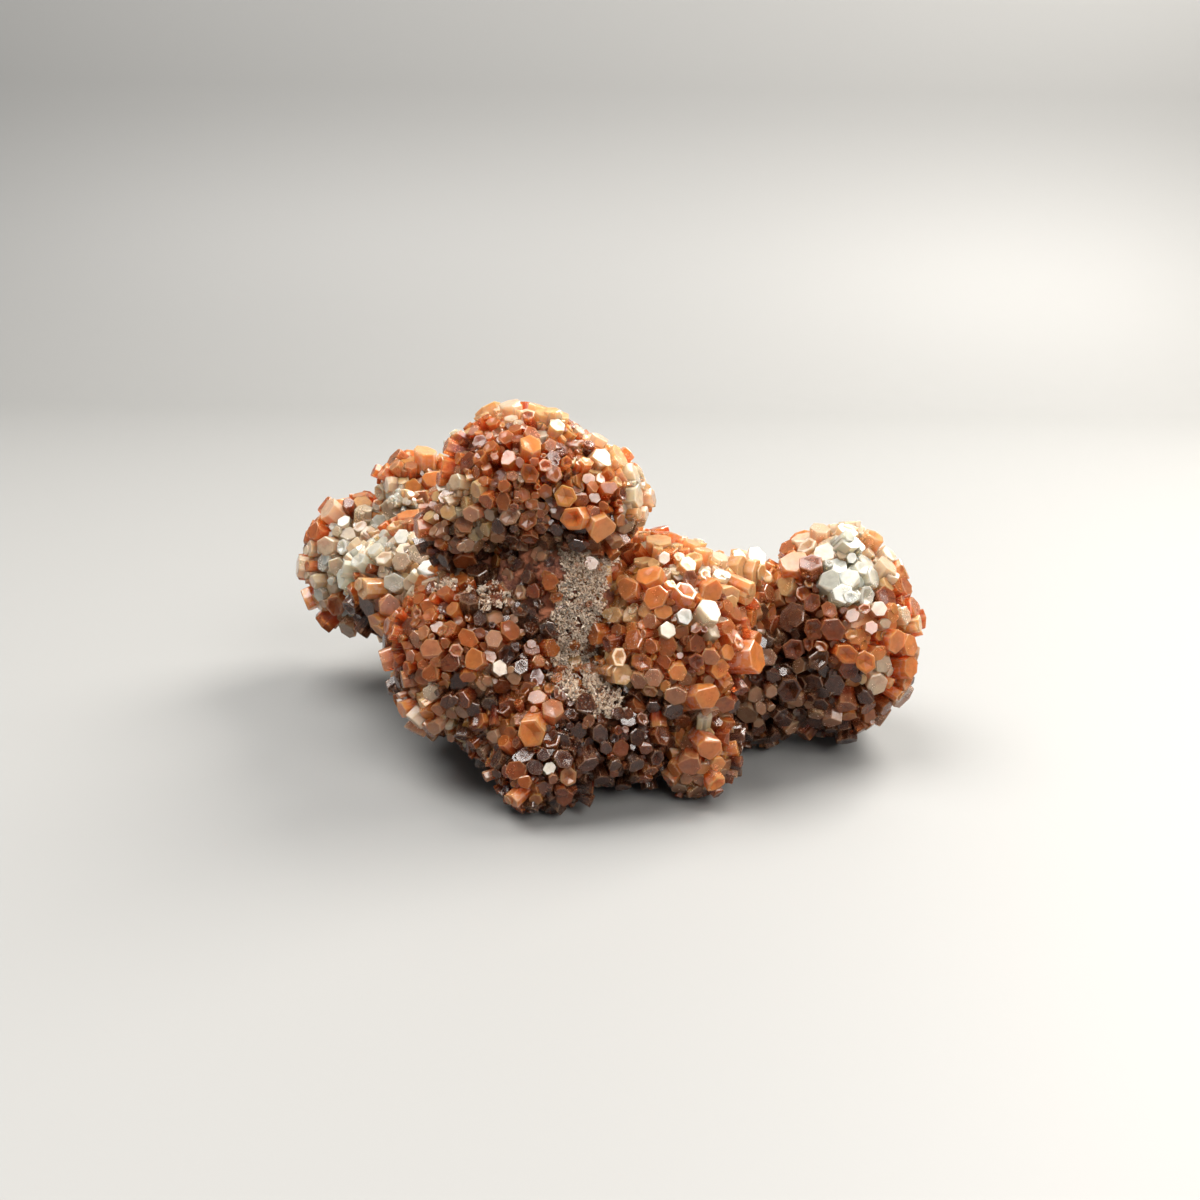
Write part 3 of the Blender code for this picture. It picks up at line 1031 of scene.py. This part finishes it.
# %% Geometry nodes
def grower():
    tree = bpy.data.node_groups.new("grow_crystals", "GeometryNodeTree")
    for in_out in ("INPUT", "OUTPUT"):
        tree.interface.new_socket("Geometry", in_out=in_out, socket_type="NodeSocketGeometry")
    start = tree.nodes.new("NodeGroupInput")
    end = tree.nodes.new("NodeGroupOutput")
    shapes = tree.nodes.new("GeometryNodeCollectionInfo")
    shapes.inputs["Collection"].default_value = templates
    shapes.inputs["Separate Children"].default_value = True
    shapes.inputs["Reset Children"].default_value = True
    place = tree.nodes.new("GeometryNodeInstanceOnPoints")
    place.inputs["Pick Instance"].default_value = True
    tree.links.new(start.outputs[0], place.inputs["Points"])
    tree.links.new(shapes.outputs[0], place.inputs["Instance"])
    for title, kind, socket in (
        ("pick", "INT", "Instance Index"),
        ("turn", "FLOAT_VECTOR", "Rotation"),
        ("size", "FLOAT_VECTOR", "Scale"),
    ):
        read = tree.nodes.new("GeometryNodeInputNamedAttribute")
        read.data_type = kind
        read.inputs["Name"].default_value = title
        tree.links.new(read.outputs["Attribute"], place.inputs[socket])
    realize = tree.nodes.new("GeometryNodeRealizeInstances")
    tree.links.new(place.outputs[0], realize.inputs[0])
    tree.links.new(realize.outputs[0], end.inputs[0])
    return tree


GROW = grower()
print("grown by:", [node.bl_label for node in GROW.nodes])

# %% [markdown]
# A piece is every crystal of one or more lobes. Each crystal's colour is mixed with a little brick,
# honey or rust, and its template is picked by kind and finish. A piece rides with the cluster and
# stands for the solid model's node that it covers.

# %% Growing the pieces
OVERLAP = 1.06  # crystals are this much wider than their place, so that they meet
SHORTEST = 1.8  # mm, as the template's scale along the crystal
FINISH_OF = {
    "smoke": "clear",
    "glass": "clear",
    "sugar": "sugary",
    "orange": "frosted",
    "honey": "frosted",
    "cream": "frosted",
    "celadon": "frosted",
}


def set_attribute(mesh, name, kind, values):
    layer = mesh.attributes.new(name, kind, "POINT")
    key = {"FLOAT_VECTOR": "vector", "FLOAT_COLOR": "color"}.get(kind, "value")
    layer.data.foreach_set(key, np.asarray(values).ravel())


def link_piece(name, mesh, node):
    """Links a finished mesh as a piece that rides with the cluster and stands for a node."""
    piece = add_object(name, mesh)
    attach(piece, "root")
    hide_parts(node)
    print(name + ":", sum(len(face.vertices) - 2 for face in mesh.polygons), "triangles")


def tint_of(crystal, rng):
    shade = rng.uniform(0.86, 1.08) if crystal.colour in PALE else rng.uniform(0.78, 1.14)
    base = PALETTE[crystal.colour]
    other = PALETTE[rng.choice(("brick", "honey", "rust"))]
    blend = rng.uniform(0, 0.08) if crystal.colour in PALE else rng.uniform(0, 0.16)
    return [min(1.0, shade * (a * (1 - blend) + b * blend)) for a, b in zip(base, other)] + [1.0]


def scale_of(crystal, rng):
    """The template's scale, short enough for the crystal's root to stay above the floor."""
    width = crystal.width * OVERLAP
    tall = width if crystal.kind == "grain" else max(width, SHORTEST)
    if crystal.axis.z > 0.05:
        room = (crystal.tip.z - 0.6 * width) / crystal.axis.z / TEMPLATE_LENGTH
        tall = min(tall, max(0.3, room))
    return width * MM, width * rng.uniform(0.90, 1.08) * MM, tall * MM


def grow_piece(name, planted):
    """Realizes all crystals of a piece as one mesh."""
    rng = random.Random(name)
    mesh = bpy.data.meshes.new(name + "_points")
    mesh.from_pydata([crystal.tip * MM for crystal in planted], [], [])
    turns, sizes, picks, tints = [], [], [], []
    for crystal in planted:
        spin = Matrix.Rotation(rng.uniform(0, math.tau), 4, "Z")
        aim = crystal.axis.to_track_quat("Z", "Y").to_matrix().to_4x4()
        turns.append((aim @ spin).to_euler())
        sizes.append(scale_of(crystal, rng))
        shapes = [n for n, kind in enumerate(TEMPLATE_KINDS) if kind == crystal.kind]
        finish = sorted(FINISHES).index(FINISH_OF.get(crystal.colour, "milky"))
        picks.append(rng.choice(shapes) + finish * len(TEMPLATE_KINDS))
        tints.append(tint_of(crystal, rng))
    for title, kind, values in (
        ("turn", "FLOAT_VECTOR", turns),
        ("size", "FLOAT_VECTOR", sizes),
        ("pick", "INT", picks),
        ("tint", "FLOAT_COLOR", tints),
        ("seed", "FLOAT", [rng.uniform(0, 50) for _ in planted]),
        ("dust", "FLOAT", [crystal.dust for crystal in planted]),
        ("polish", "FLOAT", [crystal.polish for crystal in planted]),
    ):
        set_attribute(mesh, title, kind, values)
    points = add_object(name + "_points", mesh)
    points.modifiers.new("Grow", "NODES").node_group = GROW
    graph = bpy.context.evaluated_depsgraph_get()
    grown = bpy.data.meshes.new_from_object(points.evaluated_get(graph))
    bpy.data.objects.remove(points)
    for spent in ("turn", "size", "pick"):
        if spent in grown.attributes:
            grown.attributes.remove(grown.attributes[spent])
    return grown


piece_of = {name: lobe.piece for name, lobe in LOBES.items()} | {"stone": STONE.piece}
for piece_name in sorted(set(piece_of.values())):
    planted = [c for name, piece in piece_of.items() if piece == piece_name for c in crystals_of[name]]
    link_piece(piece_name, grow_piece(piece_name, planted), "crystals")

# %% [markdown]
# ## The mass that they grow from
# Between the ends one looks down to where the crystals are grown together. A plain rounded body a
# few millimetres below the surface stands for that. In a patch it takes the mean colour of the
# patch's crystals, darkened as painted shade between them, and elsewhere it is deep, stained
# crystal, with painted shade that darkens it towards the foot.

# %% Crystal mass
MASS_BELOW_SURFACE = 3.2
PATCH_REACH, PATCH_SHADE = 1.1, 0.7  # against the patch's radius and mean colour
DARK_BELOW, LIT_ABOVE = 18 * MM, 52 * MM
FOOT_SHADE = 0.22


def colour_below(point):
    """The mean colour of a patch, to show between its crystals; alpha is 0 outside every patch."""
    for patch in PATCHES:
        if (point - Vector(patch.centre)).length < PATCH_REACH * patch.radius:
            mean = np.mean([PALETTE[name] for name in patch.colours], axis=0)
            # painted shade: the patch's colour is darker between its crystals
            return [*(PATCH_SHADE * mean), 1.0]
    return [0.0] * 4


def below_crystals(tree, place, colour):
    """Darkens a colour towards the foot as painted shade, and puts the patches' colours over it."""
    height = tree.nodes.new("ShaderNodeSeparateXYZ")
    tree.links.new(place, height.inputs[0])
    shaded = tree.nodes.new("ShaderNodeVectorMath")
    shaded.operation = "SCALE"
    tree.links.new(colour, shaded.inputs[0])
    # painted shade, darker towards the foot
    shade = ramp(tree, height.outputs["Z"], DARK_BELOW, LIT_ABOVE, FOOT_SHADE, 1.0)
    tree.links.new(shade, shaded.inputs["Scale"])
    in_patch, patch_colour = (attribute(tree, "below", output) for output in ("Alpha", "Color"))
    return mix_colour(tree, in_patch, shaded.outputs[0], patch_colour)


def stone_material(name, dark, light, grain_scale, patched=False):
    made, tree, shader = new_material(name)
    place = object_place(tree)
    broad = ramp(tree, noise_node(tree, place, grain_scale, 4.0, 0.6), 0.35, 0.7)
    fine = noise_node(tree, place, grain_scale * 7, 3.0, 0.7)
    colour = mix_colour(tree, broad, (*dark, 1), (*light, 1))
    colour = mix_colour(tree, ramp(tree, fine, 0.45, 0.7, 0.0, 0.5), colour, (*light, 1))
    if patched:
        colour = below_crystals(tree, place, colour)
    tree.links.new(colour, shader.inputs["Base Color"])
    tree.links.new(ramp(tree, fine, 0.3, 0.7, 0.95, 0.6), shader.inputs["Roughness"])
    bump = bump_node(tree, math_node(tree, "ADD", broad, fine), 0.8, 0.4 * MM)
    tree.links.new(bump, shader.inputs["Normal"])
    return made


def add_ellipsoid(bm, centre, radii, subdivisions):
    place = Matrix.Translation(centre) @ Matrix.Diagonal((*radii, 1))
    bmesh.ops.create_icosphere(bm, subdivisions=subdivisions, radius=1, matrix=place)


def mass_mesh():
    """A rounded body under each lobe, which stores the colour to show at every point."""
    bm = bmesh.new()
    for lobe in LOBES.values():
        radii = Vector(lobe.radii) - Vector((MASS_BELOW_SURFACE,) * 3)
        add_ellipsoid(bm, Vector(lobe.centre), radii, 3)
    below = [colour_below(corner.co) for corner in bm.verts]
    bmesh.ops.transform(bm, matrix=Matrix.Scale(MM, 4), verts=bm.verts)
    mesh = bpy.data.meshes.new("crystal_mass")
    bm.to_mesh(mesh)
    bm.free()
    set_attribute(mesh, "below", "FLOAT_COLOR", below)
    mesh.shade_smooth()
    return mesh


mass = mass_mesh()
deep_crystal = stone_material("deep_crystal", (0.40, 0.13, 0.035), (0.85, 0.36, 0.12), 240.0, patched=True)
mass.materials.append(deep_crystal)
link_piece("crystal_mass", mass, "crystals")

# %% [markdown]
# ## The matrix
# The stone in the hollow is broken, not grown, so it has ledges and no flat faces. A voxel remesh
# joins the stone and its two lumps into one skin, which noises then roughen: blocky ones for the
# ledges, a slow one for the lumps and a fine one for the grain.

# %% Matrix stone
VOXEL = 0.4 * MM


def smooth_blob(name, ellipsoids):
    """One closed skin over several ellipsoids."""
    bm = bmesh.new()
    for centre, radii in ellipsoids:
        add_ellipsoid(bm, Vector(centre) * MM, Vector(radii) * MM, 4)
    mesh = bpy.data.meshes.new(name)
    bm.to_mesh(mesh)
    bm.free()
    blob = add_object(name, mesh)
    remesh = blob.modifiers.new("Skin", "REMESH")
    remesh.mode = "VOXEL"
    remesh.voxel_size = VOXEL
    graph = bpy.context.evaluated_depsgraph_get()
    skin = bpy.data.meshes.new_from_object(blob.evaluated_get(graph))
    bpy.data.objects.remove(blob)
    return skin


def roughened(mesh):
    bm = bmesh.new()
    bm.from_mesh(mesh)
    bm.normal_update()
    for corner in bm.verts:
        at = corner.co / MM
        ledges = noise.cell(at / 2.6) * 0.5 + noise.cell(at / 1.3) * 0.25
        lumps = noise.noise(at / 6.0) * 1.2
        grain = noise.noise(at / 0.8) * 0.25
        corner.co += corner.normal * (ledges + lumps + grain - 0.6) * MM
    axes = {"use_axis_x": True, "use_axis_y": True, "use_axis_z": True}
    bmesh.ops.smooth_vert(bm, verts=bm.verts, factor=0.4, **axes)
    bm.to_mesh(mesh)
    bm.free()


rock = smooth_blob("matrix_stone", ((STONE.centre, STONE.radii), *KNOBS))
roughened(rock)
rock.materials.clear()
rock.materials.append(stone_material("matrix_stone", (0.07, 0.02, 0.012), (0.33, 0.11, 0.05), 300.0))
link_piece("matrix_stone", rock, "matrix")

# %% [markdown]
# ## Druse
# A valley runs down from the crown between the shoulders. Crystals there stayed under a millimetre,
# which collectors call a druse. They are mostly pale and sugary, and they lie in patches with bare
# stone between them. Points that fall near the valley's lines are kept, and two noises fray the
# edges of the patches.

# %% Druse
DRUSE_LINES = (  # along the valley, in mm, with how wide the druse is to each side
    ((-1.0, -24.0, 46.0), (-3.6, -28.0, 35.0), 4.6),
    ((-3.6, -28.0, 35.0), (-3.6, -30.0, 25.0), 4.4),
    ((-3.6, -30.0, 25.0), (2.0, -34.0, 20.0), 3.6),
    ((-27.0, -22.0, 37.0), (-19.0, -26.0, 37.0), 2.6),
)
DRUSE_HOSTS = {"matrix_druse": ("stone", "left_shoulder"), "valley_druse": ("right_shoulder", "belly")}
DRUSE_TRIES = 60000
BARE_BELOW = -0.18  # where the patches' noise is lower than this, the stone is bare


def distance_to_line(point, start, end):
    along = end - start
    share = max(0.0, min(1.0, (point - start).dot(along) / along.length_squared))
    return (point - start - along * share).length


def in_druse(point):
    frayed = 2.0 * noise.noise(point / 2.5) + 2.2 * noise.noise(point / 1.1)
    if noise.noise(point / 1.6 + Vector((5, 0, 0))) < BARE_BELOW:
        return False
    return any(distance_to_line(point, Vector(a), Vector(b)) + frayed < wide for a, b, wide in DRUSE_LINES)


def plant_druse(name, lobe):
    rng = random.Random("druse " + name)
    centre, radii = Vector(lobe.centre), Vector(lobe.radii)
    planted = []
    for _ in range(DRUSE_TRIES):
        way = random_vector(rng).normalized()
        way.y = -abs(way.y)
        point = centre + Vector(a * b for a, b in zip(way, radii))
        if not in_druse(point) or is_buried(point, name):
            continue
        normal = Vector(a / b for a, b in zip(way, radii)).normalized()
        axis = (normal + random_vector(rng, 0.5)).normalized()
        colour = rng.choice(("sugar", "sugar", "cream", "sugar", "smoke"))
        tip = point + axis * rng.uniform(0.0, 1.3)
        planted.append(Planted(tip, axis, rng.uniform(0.26, 0.62), colour, 1.0, 0.3, "grain"))
    return planted


for piece_name, hosts in DRUSE_HOSTS.items():
    druse = [crystal for host in hosts for crystal in plant_druse(host, LOBES.get(host, STONE))]
    link_piece(piece_name, grow_piece(piece_name, druse), "matrix")

# %% [markdown]
# ## Tufts
# Two tufts of small pale crystals stand apart from the rest, one at the crown's side and one on top
# of the left lobe. Their crystals go out from one point in every direction, as in a burr.

# %% Tufts
TUFTS = (  # small pale sprays: centre and radius in mm
    ((-26.0, -12.5, 63.5), 3.0),
    ((-41.0, 13.5, 45.5), 4.2),
)
TUFT_CRYSTALS = 60


def plant_tuft(centre, radius, rng):
    planted = []
    for _ in range(TUFT_CRYSTALS):
        axis = random_vector(rng).normalized()
        tip = Vector(centre) + axis * radius * rng.uniform(0.7, 1.0)
        colour = rng.choice(("celadon", "glass", "cream"))
        planted.append(Planted(tip, axis, rng.uniform(0.9, 1.7), colour, 0.2, rng.random(), "single"))
    return planted


tuft_rng = random.Random("tufts")
tufts = [crystal for centre, radius in TUFTS for crystal in plant_tuft(centre, radius, tuft_rng)]
link_piece("pale_tufts", grow_piece("pale_tufts", tufts), "crystals")

for template in list(templates.objects):
    bpy.data.objects.remove(template)

# %% [markdown]
# ## The stage
# A pale floor that curves up into a backdrop, so that no edge shows behind the cluster.

# %% Floor and backdrop
FLOOR_EDGE = 1.6  # m, in front and to each side, and as high as the backdrop goes on
BACKDROP_START = 0.42
BACKDROP_RADIUS = 0.18


def floor_and_backdrop():
    bm = bmesh.new()
    bmesh.ops.create_grid(bm, x_segments=1, y_segments=1, size=FLOOR_EDGE)
    far = [edge for edge in bm.edges if all(corner.co.y > 0 for corner in edge.verts)]
    for corner in bm.verts:
        corner.co.y = BACKDROP_START if corner.co.y > 0 else -FLOOR_EDGE
    bend = bmesh.ops.spin(
        bm,
        geom=far,
        cent=(0, BACKDROP_START, BACKDROP_RADIUS),
        axis=(1, 0, 0),
        angle=math.pi / 2,
        steps=16,
        space=Matrix(),
    )["geom_last"]
    raised = bmesh.ops.extrude_edge_only(bm, edges=[e for e in bend if isinstance(e, bmesh.types.BMEdge)])
    tops = [v for v in raised["geom"] if isinstance(v, bmesh.types.BMVert)]
    bmesh.ops.translate(bm, vec=(0, 0, FLOOR_EDGE), verts=tops)
    mesh = bpy.data.meshes.new("floor")
    bm.to_mesh(mesh)
    bm.free()
    mesh.shade_smooth()
    return add_object("floor", mesh)


floor = floor_and_backdrop()
paint, _, shader = new_material("pale_floor")
shader.inputs["Base Color"].default_value = (0.19, 0.19, 0.186, 1)
shader.inputs["Roughness"].default_value = 0.6
floor.data.materials.append(paint)
floor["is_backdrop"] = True
print("floor:", len(floor.data.polygons), "faces")

# %% [markdown]
# A large soft window stands behind on the right, and a ceiling light evens out the top. A weaker
# side light models the front, and a small front light gives the end faces their glints. The room
# itself adds a little light from everywhere, which keeps the gaps from going black.

# %% Lights and the room
LIGHTS_AIM = Vector((0, 0, 0.03))
LIGHTS = {  # place and size in m, power in W, and colour
    "window": ((0.45, 0.30, 0.60), 0.45, 15.5, (1.0, 0.96, 0.90)),
    "ceiling": ((-0.30, 0.02, 0.80), 0.6, 14.5, (1.0, 0.98, 0.95)),
    "side": ((0.38, -0.42, 0.52), 0.35, 4.6, (1.0, 0.97, 0.93)),
    "front": (FRONT_LIGHT * MM, 0.22, 2.5, (1.0, 0.98, 0.96)),
}
ROOM_COLOUR, ROOM_LIGHT = (0.97, 0.98, 1.0, 1), 0.29

for name, (place, size, power, colour) in LIGHTS.items():
    lamp = bpy.data.lights.new(name, "AREA")
    lamp.size, lamp.energy, lamp.color = size, power, colour
    light = add_object(name, lamp)
    light.location = place
    light.rotation_euler = (LIGHTS_AIM - Vector(place)).to_track_quat("-Z", "Y").to_euler()

world = bpy.data.worlds.new("room")
bpy.context.scene.world = world
world.use_nodes = True
background = world.node_tree.nodes["Background"]
background.inputs["Color"].default_value = ROOM_COLOUR
background.inputs["Strength"].default_value = ROOM_LIGHT
bpy.context.scene.view_settings.view_transform = "Standard"
print("lights:", {name: f"{power} W" for name, (_, _, power, _) in LIGHTS.items()})

# %% Sizes, and the end
bpy.context.view_layer.update()
boxes = [[list(corner) for corner in box] for box in (cad_box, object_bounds())]
for title, box in zip(("solid model", "visual model"), boxes):
    print(title, "mm:", [[round(value / MM, 1) for value in corner] for corner in box])
